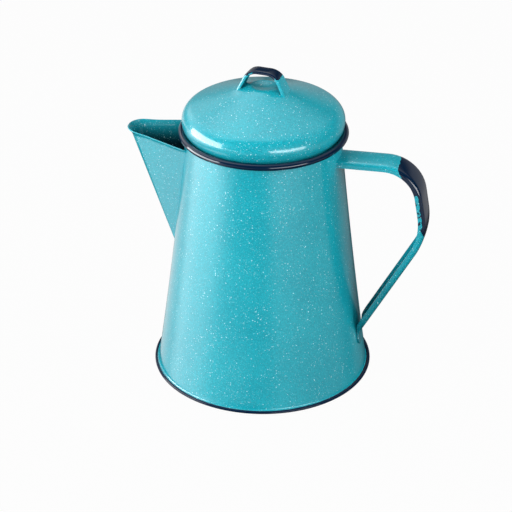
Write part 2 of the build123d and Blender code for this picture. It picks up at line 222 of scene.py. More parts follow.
class EnamelLook(bpy.types.PropertyGroup):
    """Colours and finish of the enamel."""

    teal: tint("Teal", "Ground colour", (0.007, 0.37, 0.455))
    deep_teal: tint("Deep teal", "Colour where the coat is thick", (0.004, 0.335, 0.42))
    navy: tint("Navy", "Colour of the dipped edges", (0.001, 0.012, 0.037))
    fleck: tint("Fleck", "Colour of the flecks", (0.55, 0.93, 0.97))
    gloss: number("Coat roughness", "Roughness of the glassy coat and of the navy", 0.09)
    haze: number("Haze", "Roughness of the speckled ground under the coat", 0.32)
    coat: number("Coat", "Strength of the glassy coat", 0.75)
    navy_coat: number("Navy coat", "Strength of the glassy coat on the navy", 0.4)
    sheen: number("Sheen", "Strength of the gloss under the coat", 0.17)
    base_shine: number("Base shine", "Share of the gloss that the base has", 0.4)
    # colour of the painted shade inside the spout and on the handle's low arm
    deep: tint("Deep", "Painted shade colour, deep in the spout and low on the handle", (0.001, 0.03, 0.045))
    fleck_r: length("Fleck radius", "Radius of the largest flecks", 0.42 * MM)
    fleck_pitch: length("Fleck pitch", "Distance between flecks", 2.0 * MM)
    speck_r: length("Speck radius", "Radius of the largest fine specks", 0.26 * MM)
    speck_pitch: length("Speck pitch", "Distance between fine specks", 1.0 * MM)
    ripple: length("Ripple", "Height of the coat's ripples", 0.012 * MM)
    ripple_pitch: length("Ripple pitch", "Width of a ripple", 6 * MM)
    pool_pitch: length("Pool pitch", "Width of a patch of thicker coat", 40 * MM)
    grain_pitch: length("Grain pitch", "Width of the ground's grain", 0.9 * MM)
    grain: number("Grain", "How much the grain lightens and darkens", 0.16)
    crowd_pitch: length("Crowd pitch", "Width of a patch with larger flecks", 16 * MM)
    crowd_low: number("Least flecks", "Fleck size where flecks are sparse", 0.75)
    crowd_high: number("Most flecks", "Fleck size where flecks are crowded", 1.1)
    fleck_share: number("Fleck strength", "How strongly a fleck shows", 0.9)
    speck_share: number("Speck strength", "How strongly a fine speck shows", 0.5)
    fleck_rise: length("Fleck rise", "How far a fleck stands proud", 0.02 * MM)


class MetalLook(bpy.types.PropertyGroup):
    """Colours and finish of the aluminium works."""

    dark: tint("Dark", "Darker tone of the metal", (0.62, 0.63, 0.64))
    light: tint("Light", "Lighter tone of the metal", (0.72, 0.73, 0.74))
    smooth: number("Smooth", "Roughness of the darker patches", 0.28)
    worn: number("Worn", "Roughness of the lighter patches", 0.42)
    patch_pitch: length("Patch pitch", "Width of a patch", 12 * MM)
    line_pitch: length("Line pitch", "Length scale of the spinning lines", 20 * MM)
    line_depth: length("Line depth", "Depth of the spinning lines", 0.02 * MM)


class StudioSettings(bpy.types.PropertyGroup):
    """Camera and floor."""

    azimuth: turn("Azimuth", "Camera's direction round the pot", 14.3)
    elevation: turn("Elevation", "Camera's height above the pot's middle", 29.12)
    distance: length("Distance", "Camera's distance from the pot's middle", 1378.5 * MM)
    aim_z: length("Aim height", "Height of the point the camera stands off from", 90 * MM)
    pitch: turn("Pitch", "Camera's downward tilt", 29.32)
    yaw: turn("Yaw", "Camera's turn away from the pot", -0.24)
    roll: turn("Roll", "Camera's roll", 0.14)
    lens: number("Lens", "Focal length in millimetres", 133.8)
    floor_tone: number("Floor tone", "How pale the floor is under the lamps", 0.25)
    floor_white: number("Floor white", "How far the floor's shadow gives way to white", 0.97)


# ---- outlines
def arc_points(centre, radius, start, end, steps):
    """Points on an arc, with angles from the first axis towards the second."""
    swings = [start + (end - start) * step / steps for step in range(steps + 1)]
    return [(centre[0] + radius * cos(swing), centre[1] + radius * sin(swing)) for swing in swings]


def curl_on(points, heading, radius, swing, steps):
    """Carries an outline on along an arc from its end; a swing to the right is negative."""
    side = heading + copysign(pi / 2, swing)
    centre = (points[-1][0] + radius * cos(side), points[-1][1] + radius * sin(side))
    start = side + pi
    points += arc_points(centre, radius, start, start + swing, steps)[1:]
    return heading + swing


def rounded(corners, radii, steps=8):
    """A run of straight lines with an arc at each inner corner."""
    corners = [Vector(corner) for corner in corners]
    points = [corners[0]]
    for before, corner, after, radius in zip(corners, corners[1:], corners[2:], radii):
        back = (before - corner).normalized()
        ahead = (after - corner).normalized()
        half = back.angle(ahead) / 2
        centre = corner + (back + ahead).normalized() * radius / sin(half)
        first = corner + back * radius / tan(half) - centre
        last = corner + ahead * radius / tan(half) - centre
        swing = pi - 2 * half
        for step in range(steps + 1):
            share = step / steps
            arm = first * sin((1 - share) * swing) + last * sin(share * swing)
            points.append(centre + arm / sin(swing))
    return points + [corners[-1]]


def stations(points, step):
    """Points along a line no further apart than a step."""
    found = [Vector(points[0])]
    for start, end in zip(points, points[1:]):
        start, end = Vector(start), Vector(end)
        count = max(1, ceil((end - start).length / step))
        found += [start.lerp(end, share / count) for share in range(1, count + 1)]
    return found


def smooth_step(share):
    """Eases from 0 to 1."""
    share = min(1, max(0, share))
    return share * share * (3 - 2 * share)


# ---- meshes
def lofted(sections):
    """The skin through sections with the same number of points each."""
    columns, rows = len(sections[0]) - 1, len(sections) - 1
    bm = bmesh.new()
    grid = bmesh.ops.create_grid(bm, x_segments=columns, y_segments=rows, size=1)
    for vert in grid["verts"]:
        column = round((vert.co.x + 1) / 2 * columns)
        row = round((vert.co.y + 1) / 2 * rows)
        vert.co = sections[row][column]
    return bm


def spun(outline):
    """The skin that an outline of (radius, height) sweeps round the axis."""
    swings = [tau * step / ROUND_STEPS for step in range(ROUND_STEPS + 1)]
    bm = lofted([[(r * cos(swing), r * sin(swing), z) for r, z in outline] for swing in swings])
    bmesh.ops.remove_doubles(bm, verts=bm.verts, dist=HAIR)
    return bm


def face_away(bm, inside):
    """Turns a skin's faces so that they look away from a point inside it."""
    bmesh.ops.recalc_face_normals(bm, faces=bm.faces)
    outward = 0
    for face in bm.faces:
        outward += face.normal.dot(face.calc_center_median() - inside) * face.calc_area()
    if outward < 0:
        bmesh.ops.reverse_faces(bm, faces=bm.faces)


def stray(bm, depth, span, seed):
    """Presses a skin gently inwards here and there, as hand-finished sheet is."""
    bm.normal_update()
    shifts = [
        (noise.noise(vert.co / span + Vector((seed, seed, seed))) - 1) / 2 * depth for vert in bm.verts
    ]
    for vert, shift in zip(bm.verts, shifts):
        vert.co += vert.normal * shift


def as_object(name, bm):
    """Makes a skin an object at the origin."""
    mesh = bpy.data.meshes.new(name)
    bm.to_mesh(mesh)
    bm.free()
    made = bpy.data.objects.new(name, mesh)
    bpy.context.scene.collection.objects.link(made)
    return made


def piece(name, bm, body, nodes, material):
    """Makes a skin an object that stands for CAD nodes."""
    made = as_object(name, bm)
    made.data.shade_smooth()
    made.data.materials.append(material)
    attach(made, body)
    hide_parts(*nodes)
    return made


SOFT_EDGE = 0.2 * MM  # width of the rounding on a cut edge
HANDLE_EDGE = 0.25 * MM
SPOUT_EDGE = 0.3 * MM
EDGE_SEGMENTS = 3
CUT_ANGLE = radians(50)  # edges that turn further than this are cut edges


def give_wall(made, sheet, edge, offset=0, group=""):
    """Gives a skin its sheet thickness and softly rounded cut edges."""
    wall = made.modifiers.new("sheet", "SOLIDIFY")
    wall.thickness = sheet
    wall.offset = offset
    wall.use_even_offset = True
    wall.vertex_group = group
    soft = made.modifiers.new("soft edge", "BEVEL")
    soft.width = edge
    soft.segments = EDGE_SEGMENTS
    soft.limit_method = "ANGLE"
    soft.angle_limit = CUT_ANGLE
    soft.harden_normals = True


def bake_modifiers(made, sharp_angle):
    """Puts an object's modifiers into its mesh and keeps only real edges sharp."""
    shape = made.evaluated_get(bpy.context.evaluated_depsgraph_get())
    mesh = bpy.data.meshes.new_from_object(shape)
    made.modifiers.clear()
    made.data = mesh
    mesh.shade_smooth()
    mesh.set_sharp_from_angle(angle=sharp_angle)


# ---- materials
CLOUD_RANGE = (0.3, 0.7)  # what soft noise mostly keeps to
WIDE_RANGE = (0.2, 0.8)  # what it hardly ever leaves
RAISED = 0.5  # how strongly flecks and spinning lines bend the light
LINE_STRETCH = 40  # how much finer the spinning lines are along the axis
ENAMEL_IOR = 1.55
FLECK_BIAS = 1.3  # above 1, small flecks are the commoner
SMALLEST_FLECK = 0.35  # share of the largest fleck's radius
FLECK_CORE = 0.7  # share of a fleck's radius that is solid
SHAKE_PITCH = 0.5 * MM  # width of the wobble that makes flecks uneven
SHAKE = 0.25 * MM
WAVE_PITCH = 5 * MM  # width of the waves along a navy edge
EDGE = 0.05 * MM  # half the width over which one colour gives way to another
SHADE_START = 0.4  # share of the spout's painted shade depth that lies above its rim
DIP_WAVE_PITCH = 6 * MM
DIP_EDGE = 0.08 * MM
PATCH_PITCH = 4 * MM  # width of a bare patch on a turned-in edge
PATCHINESS = 0.9  # how uneven the bare patches are
PATCH_EDGE = 0.03  # how softly a bare patch ends
COVER_FADE = 12 * MM  # height over which the bare patches close


def add_node(tree, kind, inputs=None, **settings):
    """Adds a shader node, sets it and fills its inputs with values or links."""
    made = tree.nodes.new("ShaderNode" + kind)
    for key, value in settings.items():
        setattr(made, key, value)
    for key, value in (inputs or {}).items():
        if isinstance(value, bpy.types.NodeSocket):
            tree.links.new(value, made.inputs[key])
        else:
            made.inputs[key].default_value = value
    return made


def maths(tree, operation, first, second=0.0):
    """The result of one sum."""
    made = add_node(tree, "Math", {0: first, 1: second}, operation=operation)
    return made.outputs[0]


def ramp(tree, value, low, high, low_result=0.0, high_result=1.0):
    """A value eased from one range to another."""
    inputs = {"Value": value, "From Min": low, "From Max": high}
    inputs |= {"To Min": low_result, "To Max": high_result}
    made = add_node(tree, "MapRange", inputs, interpolation_type="SMOOTHSTEP")
    return made.outputs["Result"]


def blend(tree, share, first, second):
    """A colour between two colours."""
    made = add_node(tree, "Mix", {0: share, 6: first, 7: second}, data_type="RGBA")
    return made.outputs[2]


def cloud(tree, coords, pitch, detail=2.0):
    """Soft noise with features about a pitch across."""
    made = add_node(tree, "TexNoise", {"Vector": coords, "Scale": 1 / pitch, "Detail": detail})
    return made.outputs["Fac"]


def vector_sum(tree, operation, *values):
    """The vector that one sum gives."""
    made = add_node(tree, "VectorMath", dict(enumerate(values)), operation=operation)
    return made.outputs[0]


def bump(tree, height, distance, strength, under=None):
    """Normals raised by a height, over the normals under it."""
    inputs = {"Height": height, "Distance": distance, "Strength": strength, **(under or {})}
    return add_node(tree, "Bump", inputs).outputs["Normal"]


def dot(tree, vector, axis):
    """How far a vector runs along an axis."""
    made = add_node(tree, "VectorMath", {0: vector, 1: axis}, operation="DOT_PRODUCT")
    return made.outputs["Value"]


def height_of(tree, coords):
    """The height of a point."""
    return add_node(tree, "SeparateXYZ", {"Vector": coords}).outputs["Z"]


def wave(tree, coords, ragged, pitch=WAVE_PITCH):
    """An uneven amount from none up to the raggedness."""
    return maths(tree, "MULTIPLY", cloud(tree, coords, pitch), ragged)


def opaque(colour):
    """A colour with its alpha."""
    return (*colour, 1)


def new_material(name):
    """A new material, its tree, its shader and the coordinates on the object."""
    material = bpy.data.materials.new(name)
    material.use_nodes = True
    tree = material.node_tree
    coords = add_node(tree, "TexCoord").outputs["Object"]
    return material, tree, tree.nodes["Principled BSDF"], coords


def flecks(tree, coords, pitch, radius, density):
    """Mask of round flecks at random, most of them small, larger where the density is higher."""
    cells = add_node(tree, "TexVoronoi", {"Vector": coords, "Scale": 1 / pitch})
    chance = add_node(tree, "SeparateColor", {"Color": cells.outputs["Color"]}).outputs["Red"]
    size = ramp(tree, maths(tree, "POWER", chance, FLECK_BIAS), 0, 1, SMALLEST_FLECK, 1)
    reach = maths(tree, "MULTIPLY", maths(tree, "MULTIPLY", density, size), radius / pitch)
    inner = maths(tree, "MULTIPLY", reach, FLECK_CORE)
    return ramp(tree, cells.outputs["Distance"], reach, inner)


def enamel(name, look, dip=None, shade=None, shine=1.0):
    """Glassy speckled enamel: dip masks the navy, shade masks the painted shade, shine scales the
    gloss.
    """
    material, tree, shader, coords = new_material(name)
    thick = ramp(tree, cloud(tree, coords, look.pool_pitch, detail=3), *CLOUD_RANGE)
    ground = blend(tree, thick, opaque(look.teal), opaque(look.deep_teal))
    grain = cloud(tree, coords, look.grain_pitch, detail=3)
    value = ramp(tree, grain, *CLOUD_RANGE, 1 - look.grain, 1 + look.grain)
    grained = add_node(tree, "HueSaturation", {"Color": ground, "Value": value})
    grained = grained.outputs["Color"]
    # painted shade: where the shade mask is, the ground is darkened towards the painted shade colour
    if shade:
        grained = blend(tree, shade(tree, coords), grained, opaque(look.deep))

    wobble = add_node(tree, "TexNoise", {"Vector": coords, "Scale": 1 / SHAKE_PITCH})
    shake = vector_sum(tree, "MULTIPLY_ADD", wobble.outputs["Color"], (SHAKE, SHAKE, SHAKE), coords)
    crowd = cloud(tree, coords, look.crowd_pitch)
    density = ramp(tree, crowd, *CLOUD_RANGE, look.crowd_low, look.crowd_high)
    large = flecks(tree, shake, look.fleck_pitch, look.fleck_r, density)
    fine = flecks(tree, shake, look.speck_pitch, look.speck_r, density)
    large = maths(tree, "MULTIPLY", large, look.fleck_share)
    fine = maths(tree, "MULTIPLY", fine, look.speck_share)
    pale = maths(tree, "MAXIMUM", large, fine)
    speckled = blend(tree, pale, grained, opaque(look.fleck))

    shader.inputs["Roughness"].default_value = look.haze
    shader.inputs["Coat Weight"].default_value = look.coat * shine
    if dip:
        navy_share = dip(tree, coords)
        speckled = blend(tree, navy_share, speckled, opaque(look.navy))
        roughness = ramp(tree, navy_share, 0, 1, look.haze, look.gloss)
        tree.links.new(roughness, shader.inputs["Roughness"])
        coat = ramp(tree, navy_share, 0, 1, look.coat * shine, look.navy_coat * shine)
        tree.links.new(coat, shader.inputs["Coat Weight"])
    tree.links.new(speckled, shader.inputs["Base Color"])
    shader.inputs["IOR"].default_value = ENAMEL_IOR
    shader.inputs["Specular IOR Level"].default_value = look.sheen * shine
    shader.inputs["Coat Roughness"].default_value = look.gloss

    ripples = bump(tree, cloud(tree, coords, look.ripple_pitch), look.ripple, strength=1)
    raised = bump(tree, pale, look.fleck_rise, RAISED, {"Normal": ripples})
    tree.links.new(raised, shader.inputs["Normal"])
    tree.links.new(raised, shader.inputs["Coat Normal"])
    return material


def either(first, second):
    """Mask of what lies in one mask or the other."""

    def mask(tree, coords):
        return maths(tree, "MAXIMUM", first(tree, coords), second(tree, coords))

    return mask


def above(height, ragged):
    """Mask of what lies above a height, with a ragged paint edge."""

    def mask(tree, coords):
        z = maths(tree, "ADD", height_of(tree, coords), wave(tree, coords, ragged))
        return ramp(tree, maths(tree, "SUBTRACT", z, height + ragged / 2), -EDGE, EDGE)

    return mask


def below(height, fade, most):
    """Mask that grows from a height downwards."""

    def mask(tree, coords):
        return ramp(tree, height_of(tree, coords), height, height - fade, 0, most)

    return mask


def outside(radius, ragged, shift=0.0):
    """Mask of what lies further than a radius from the axis; a shift deepens it towards +X."""

    def mask(tree, coords):
        flat = vector_sum(tree, "MULTIPLY_ADD", coords, (1, 1, 0), (shift, 0, 0))
        reach = add_node(tree, "VectorMath", {0: flat}, operation="LENGTH").outputs["Value"]
        reach = maths(tree, "ADD", reach, wave(tree, coords, ragged))
        return ramp(tree, reach, radius, radius + 2 * EDGE)

    return mask


def painted_spout_shade(rim_z, low_z, half_width, depth):
    """Mask of painted shade between the spout's sides, darker with the depth below its rim."""

    def mask(tree, coords):
        place = add_node(tree, "SeparateXYZ", {"Vector": coords}).outputs
        deep = ramp(tree, place["Z"], rim_z + SHADE_START * depth, rim_z - depth)
        slope = half_width / (rim_z - low_z)
        side = maths(tree, "MULTIPLY", maths(tree, "SUBTRACT", place["Z"], low_z), slope)
        between = maths(tree, "LESS_THAN", maths(tree, "ABSOLUTE", place["Y"]), side)
        on_side = maths(tree, "MULTIPLY", between, maths(tree, "LESS_THAN", place["X"], 0.0))
        return maths(tree, "MULTIPLY", deep, on_side)

    return mask


def dipped(point, direction, ragged, low_cover, high_cover, covered_z):
    """Mask of what was dipped past a plane, with bare patches on the turned-in edges low down."""
    facing = Vector(direction).normalized()
    level = Vector(point).dot(facing)

    def mask(tree, coords):
        past = maths(tree, "ADD", dot(tree, coords, facing), wave(tree, coords, ragged, DIP_WAVE_PITCH))
        inside = ramp(tree, maths(tree, "SUBTRACT", past, level + ragged / 2), -DIP_EDGE, DIP_EDGE)
        turned = add_node(tree, "Attribute", attribute_name="turned_in").outputs["Fac"]
        patch = maths(tree, "ADD", turned, wave(tree, coords, PATCHINESS, PATCH_PITCH))
        z = height_of(tree, coords)
        cover = ramp(tree, z, covered_z - COVER_FADE, covered_z, low_cover, high_cover)
        covered = ramp(tree, maths(tree, "SUBTRACT", patch, cover), PATCH_EDGE, -PATCH_EDGE)
        return maths(tree, "MULTIPLY", inside, covered)

    return mask


def aluminium(name, look):
    """Spun satin aluminium, with fine lines round the piece."""
    material, tree, shader, coords = new_material(name)
    stretched = vector_sum(tree, "MULTIPLY", coords, (1, 1, LINE_STRETCH))
    lines = cloud(tree, stretched, look.line_pitch, detail=6)
    patches = cloud(tree, coords, look.patch_pitch, detail=4)
    tone = ramp(tree, patches, *CLOUD_RANGE)
    colour = blend(tree, tone, opaque(look.dark), opaque(look.light))
    tree.links.new(colour, shader.inputs["Base Color"])
    shader.inputs["Metallic"].default_value = 1
    roughness = ramp(tree, patches, *WIDE_RANGE, look.smooth, look.worn)
    tree.links.new(roughness, shader.inputs["Roughness"])
    raised = bump(tree, lines, look.line_depth, RAISED)
    tree.links.new(raised, shader.inputs["Normal"])
    return material


# ---- pot
WALL_STEPS = 40
FLARE_STEPS = 12
CURL_STEPS = 28
HOLE_SEGMENTS = 20
ROD_SHEETS = 8  # length of a hole's rod, in sheets
POT_DENTS = 3  # picks one pattern of dents
RIM_SHARP = radians(40)  # edges that turn further than this stay sharp
BEND_SHARE = 0.49  # share of the base edge's height that each of its two bends takes
BASE_RING = 8 * MM  # distance between the base's rings of points


def wall_top_z(pot):
    """Height where the straight wall ends and the rim's flare begins."""
    return pot_high.z - pot.rim_height


def wall_r(pot, z):
    """Outer radius of the pot's wall at a height."""
    low_r = pot.foot_r - pot.foot_ledge
    share = (z - pot.wall_low_z) / (wall_top_z(pot) - pot.wall_low_z)
    return low_r + (pot.wall_top_r - low_r) * share - 4 * pot.wall_waist * share * (1 - share)


def wall_lean(pot, z):
    """Change of the wall's radius with height."""
    return (wall_r(pot, z + MM) - wall_r(pot, z - MM)) / (2 * MM)


def pot_outline(pot):
    """Middle line of the pot's sheet, from the foot flange to the end of the curl."""
    half = pot.sheet / 2
    flange_z = pot.base_sheet + half
    low_z = pot.wall_low_z
    low_r = wall_r(pot, low_z) - half
    corner_r = low_r - (low_z - flange_z) * wall_lean(pot, low_z)
    foot = rounded(
        [
            (pot.foot_r - pot.base_sheet - pot.seam_gap, flange_z),
            (corner_r, flange_z),
            (low_r, low_z),
        ],
        [pot.foot_bend],
    )
    points = [tuple(point) for point in foot]
    top = wall_top_z(pot)
    for step in range(1, WALL_STEPS + 1):
        z = low_z + (top - low_z) * step / WALL_STEPS
        points.append((wall_r(pot, z) - half, z))
    heading = atan2(1, wall_lean(pot, top))
    heading = curl_on(points, heading, pot.flare_r, -pot.flare_turn, FLARE_STEPS)
    curl_on(points, heading, pot.curl_r, -pot.curl_turn, CURL_STEPS)
    return points


def hole_cutter(pot):
    """Rods for the pouring holes, as one object."""
    bm = bmesh.new()
    for row in range(1, pot.hole_rows + 1):
        z = wall_top_z(pot) - pot.hole_drop - (pot.hole_rows - row) * pot.hole_step
        for column in range(row):
            swing = (column - (row - 1) / 2) * pot.hole_turn
            place = (
                Matrix.Rotation(pi + swing, 4, "Z")
                @ Matrix.Translation((wall_r(pot, z), 0, z))
                @ Matrix.Rotation(pi / 2, 4, "Y")
            )
            bmesh.ops.create_cone(
                bm,
                cap_ends=True,
                segments=HOLE_SEGMENTS,
                radius1=pot.hole_r,
                radius2=pot.hole_r,
                depth=ROD_SHEETS * pot.sheet,
                matrix=place,
            )
    return as_object("hole_rods", bm)


class PERCOLATOR_OT_pot(bpy.types.Operator):
    """Build the pot's wall with its curled rim and pouring holes"""

    bl_idname = "percolator.pot"
    bl_label = "Pot Wall"

    def execute(self, context):
        pot = context.scene.percolator_pot
        look = context.scene.percolator_enamel
        bm = spun(pot_outline(pot))
        face_away(bm, Vector((0, 0, wall_top_z(pot) / 2)))
        stray(bm, pot.dent, pot.dent_span, POT_DENTS)
        rim_navy = above(wall_top_z(pot) - pot.navy_drop, pot.navy_wave)
        spout = context.scene.percolator_spout
        rim_z = wall_top_z(pot) - spout.rim_drop
        half_width = abs(spout_section(pot, spout, rim_z)[0].y) - 2 * pot.sheet
        # painted shade on the wall's outer face between the spout's sides
        shade = painted_spout_shade(rim_z, spout.low_z, half_width, spout.shade_depth)
        foot_navy = outside(pot.foot_r - pot.navy_reach, pot.navy_wave, pot.navy_shift)
        coat = enamel("pot enamel", look, either(rim_navy, foot_navy), shade)
        made = piece("pot_wall", bm, "pot", ["pot_body"], coat)
        made.data.materials.append(enamel("pot inner enamel", look, rim_navy))
        wall = made.modifiers.new("sheet", "SOLIDIFY")
        wall.thickness = pot.sheet
        wall.offset = 0
        wall.material_offset = 1
        rods = hole_cutter(pot)
        holes = made.modifiers.new("pouring holes", "BOOLEAN")
        holes.object = rods
        holes.operation = "DIFFERENCE"
        holes.solver = "EXACT"
        bake_modifiers(made, RIM_SHARP)
        bpy.data.objects.remove(rods)
        return {"FINISHED"}


class PERCOLATOR_OT_base(bpy.types.Operator):
    """Build the base sheet, crimped round the foot"""

    bl_idname = "percolator.base"
    bl_label = "Base"

    def execute(self, context):
        pot = context.scene.percolator_pot
        look = context.scene.percolator_enamel
        half = pot.base_sheet / 2
        edge_r = pot.foot_r - half
        lap_z = 2 * pot.base_sheet + pot.sheet - half
        bend = BEND_SHARE * (lap_z - half)
        outline = rounded(
            [(0, half), (edge_r, half), (edge_r, lap_z), (pot.foot_r - pot.seam_lap, lap_z)],
            [bend, bend],
        )
        bm = spun(stations(outline, BASE_RING))
        bmesh.ops.recalc_face_normals(bm, faces=bm.faces)
        navy = outside(pot.foot_r - pot.base_navy, pot.base_wave)
        coat = enamel("base enamel", look, navy, shine=look.base_shine)
        made = piece("base", bm, "pot", ["base_plate"], coat)
        give_wall(made, pot.base_sheet, SOFT_EDGE)
        return {"FINISHED"}


# ---- spout
SIDE_POINTS = 14
NOSE_STEPS = 24
CONE_STEPS = 36
LIP_STEPS = 12
LIP_OVERRUN = 1.3  # where the lip stops turning out, in lip heights above its start
ABOVE_RIM = 4 * MM  # height that is trimmed off along the sloping rim
KEEL_MERGE = MM / 20  # points of the spout nearer than this are one, as at the keel's start
THINNEST = 0.05  # share of the sheet that is left at the keel's start


def spout_section(pot, spout, z):
    """Points along the spout at a height, from the wall round the nose and back to the wall."""
    full_z = wall_top_z(pot) - spout.full_drop
    rim_z = wall_top_z(pot) - spout.rim_drop
    scale = (z - spout.low_z) / (full_z - spout.low_z)
    low_r = wall_r(pot, spout.low_z)
    nose_r = spout.nose_r * scale
    nose_x = low_r + (spout.tip_r - spout.nose_r - low_r) * scale
    embedded_r = wall_r(pot, z) - pot.sheet / 2
    slope = tan(spout.half_angle)
    side_x = nose_x + nose_r * sin(spout.half_angle)
    side_y = nose_r * cos(spout.half_angle)
    crossing = side_y + side_x * slope
    root = sqrt(max(0, crossing**2 * slope**2 - (1 + slope**2) * (crossing**2 - embedded_r**2)))
    wall_x = (crossing * slope + root) / (1 + slope**2)
    half = []
    for step in range(SIDE_POINTS):
        x = wall_x + (side_x - wall_x) * step / SIDE_POINTS
        half.append((x, side_y + (side_x - x) * slope, sin(spout.half_angle), cos(spout.half_angle)))
    nose_turn = pi / 2 - spout.half_angle
    nose = arc_points((0, 0), 1, nose_turn, -nose_turn, NOSE_STEPS)
    round_nose = [(nose_x + nose_r * x, nose_r * y, x, y) for x, y in nose]
    other_half = [(x, -y, normal_x, -normal_y) for x, y, normal_x, normal_y in reversed(half)]
    points = []
    for x, y, normal_x, normal_y in half + round_nose + other_half:
        rim_here = rim_z + (x - pot.wall_top_r) * tan(spout.rim_rise)
        share = max(0, min(LIP_OVERRUN, (z - rim_here + spout.lip_height) / spout.lip_height))
        at_nose = smooth_step((x - nose_x) / spout.nose_r + 0.5)
        lip = spout.side_lip + (spout.nose_lip - spout.side_lip) * at_nose
        clear = min(1, max(0, (hypot(x, y) - embedded_r) / spout.lip_fade))
        out = lip * share**2 * clear
        points.append(Vector((-x - out * normal_x, y + out * normal_y, z)))
    return points


class PERCOLATOR_OT_spout(bpy.types.Operator):
    """Build the half-cone spout with its turned lip"""

    bl_idname = "percolator.spout"
    bl_label = "Spout"

    def execute(self, context):
        pot = context.scene.percolator_pot
        spout = context.scene.percolator_spout
        look = context.scene.percolator_enamel
        rim_z = wall_top_z(pot) - spout.rim_drop
        lip_start = rim_z - spout.lip_height
        cone_run = lip_start - spout.low_z
        lip_run = rim_z + ABOVE_RIM - lip_start
        heights = [spout.low_z + cone_run * step / CONE_STEPS for step in range(CONE_STEPS)]
        heights += [lip_start + lip_run * step / LIP_STEPS for step in range(LIP_STEPS + 1)]
        bm = lofted([spout_section(pot, spout, z) for z in heights])
        bmesh.ops.remove_doubles(bm, verts=bm.verts, dist=KEEL_MERGE)
        bmesh.ops.bisect_plane(
            bm,
            geom=bm.verts[:] + bm.edges[:] + bm.faces[:],
            plane_co=(-pot.wall_top_r, 0, rim_z),
            plane_no=(sin(spout.rim_rise), 0, cos(spout.rim_rise)),
            clear_outer=True,
        )
        face_away(bm, Vector((0, 0, rim_z)))
        made = piece("spout_cone", bm, "pot", ["spout"], enamel("spout enamel", look))
        group = made.vertex_groups.new(name="sheet")
        for vert in made.data.vertices:
            share = (vert.co.z - spout.low_z) / spout.taper_run
            group.add([vert.index], min(1, max(THINNEST, share)), "REPLACE")
        # painted shade on the spout's inner face, darker below its rim
        shade = painted_spout_shade(rim_z, 0, pot.wall_top_r, spout.shade_depth)
        made.data.materials.append(enamel("spout inner enamel", look, shade=shade))
        give_wall(made, spout.sheet, SPOUT_EDGE, offset=-1, group="sheet")
        made.modifiers["sheet"].material_offset = 1
        return {"FINISHED"}


# ---- straps
EDGE_POINTS = 3
CORNER_STEPS = 6
FACE_STEPS = 10
MOST_ROUND = 0.9  # largest share of a strap's depth that its edge radius takes
BEND_STEPS = 14
HANDLE_STEP = 2 * MM
PULL_STEP = 0.8 * MM
LEAST_DEPTH = 1.1  # depth where the handle lies on the wall, in sheets
TAB_END = 0.55  # share of the tab's width at its very end
TAB_GAP = 0.25  # least gap between the tab's turned edges and the wall, in sheets
GRIP_DIP = (0.93, 0.06, 0.36)  # direction in which the handle was dipped
SAME_PLACE = 7  # decimals that tell two points apart
ROOT_ROUNDS = 12  # rounds of homing in on where the pull's legs meet the lid


def channel(width, depth, edge_r, crown):
    """Section of a strap with turned-in edges: across, inwards and how far turned in, by point."""
    edge_r = min(edge_r, depth * MOST_ROUND)
    half = width / 2
    corner = arc_points((-half + edge_r, edge_r), edge_r, pi, 1.5 * pi, CORNER_STEPS)
    flat = half - edge_r
    left = [(-half, depth - (depth - edge_r) * step / EDGE_POINTS) for step in range(EDGE_POINTS)]
    left += corner
    middle = [(-flat + 2 * flat * step / FACE_STEPS, 0) for step in range(1, FACE_STEPS)]
    right = [(-across, inward) for across, inward in reversed(left)]
    section = []
    for across, inward in left + middle + right:
        raised = crown * (abs(across) / half) ** 2
        section.append((across, inward + raised, min(1, inward / edge_r)))
    return section


def swept_channel(route, section_at):
    """Sections of a strap along a route, and how far each of their points is turned in."""
    side = Vector((0, 1, 0))
    sections, marks = [], []
    for index, point in enumerate(route):
        ahead = route[min(index + 1, len(route) - 1)] - route[max(index - 1, 0)]
        outward = ahead.cross(side).normalized()
        section = section_at(point)
        sections.append([point + side * across - outward * inward for across, inward, _ in section])
        marks.append([turned_in for _, _, turned_in in section])
    return sections, marks


def place_key(point):
    """A point's place, rounded so that it can be looked up."""
    return tuple(round(part, SAME_PLACE) for part in point)


def mark_turned(bm, sections, marks):
    """Stores how far each point is turned in."""
    layer = bm.verts.layers.float.new("turned_in")
    turned = {}
    for points, values in zip(sections, marks):
        turned.update(zip(map(place_key, points), values))
    for vert in bm.verts:
        vert[layer] = turned.get(place_key(vert.co), 0)


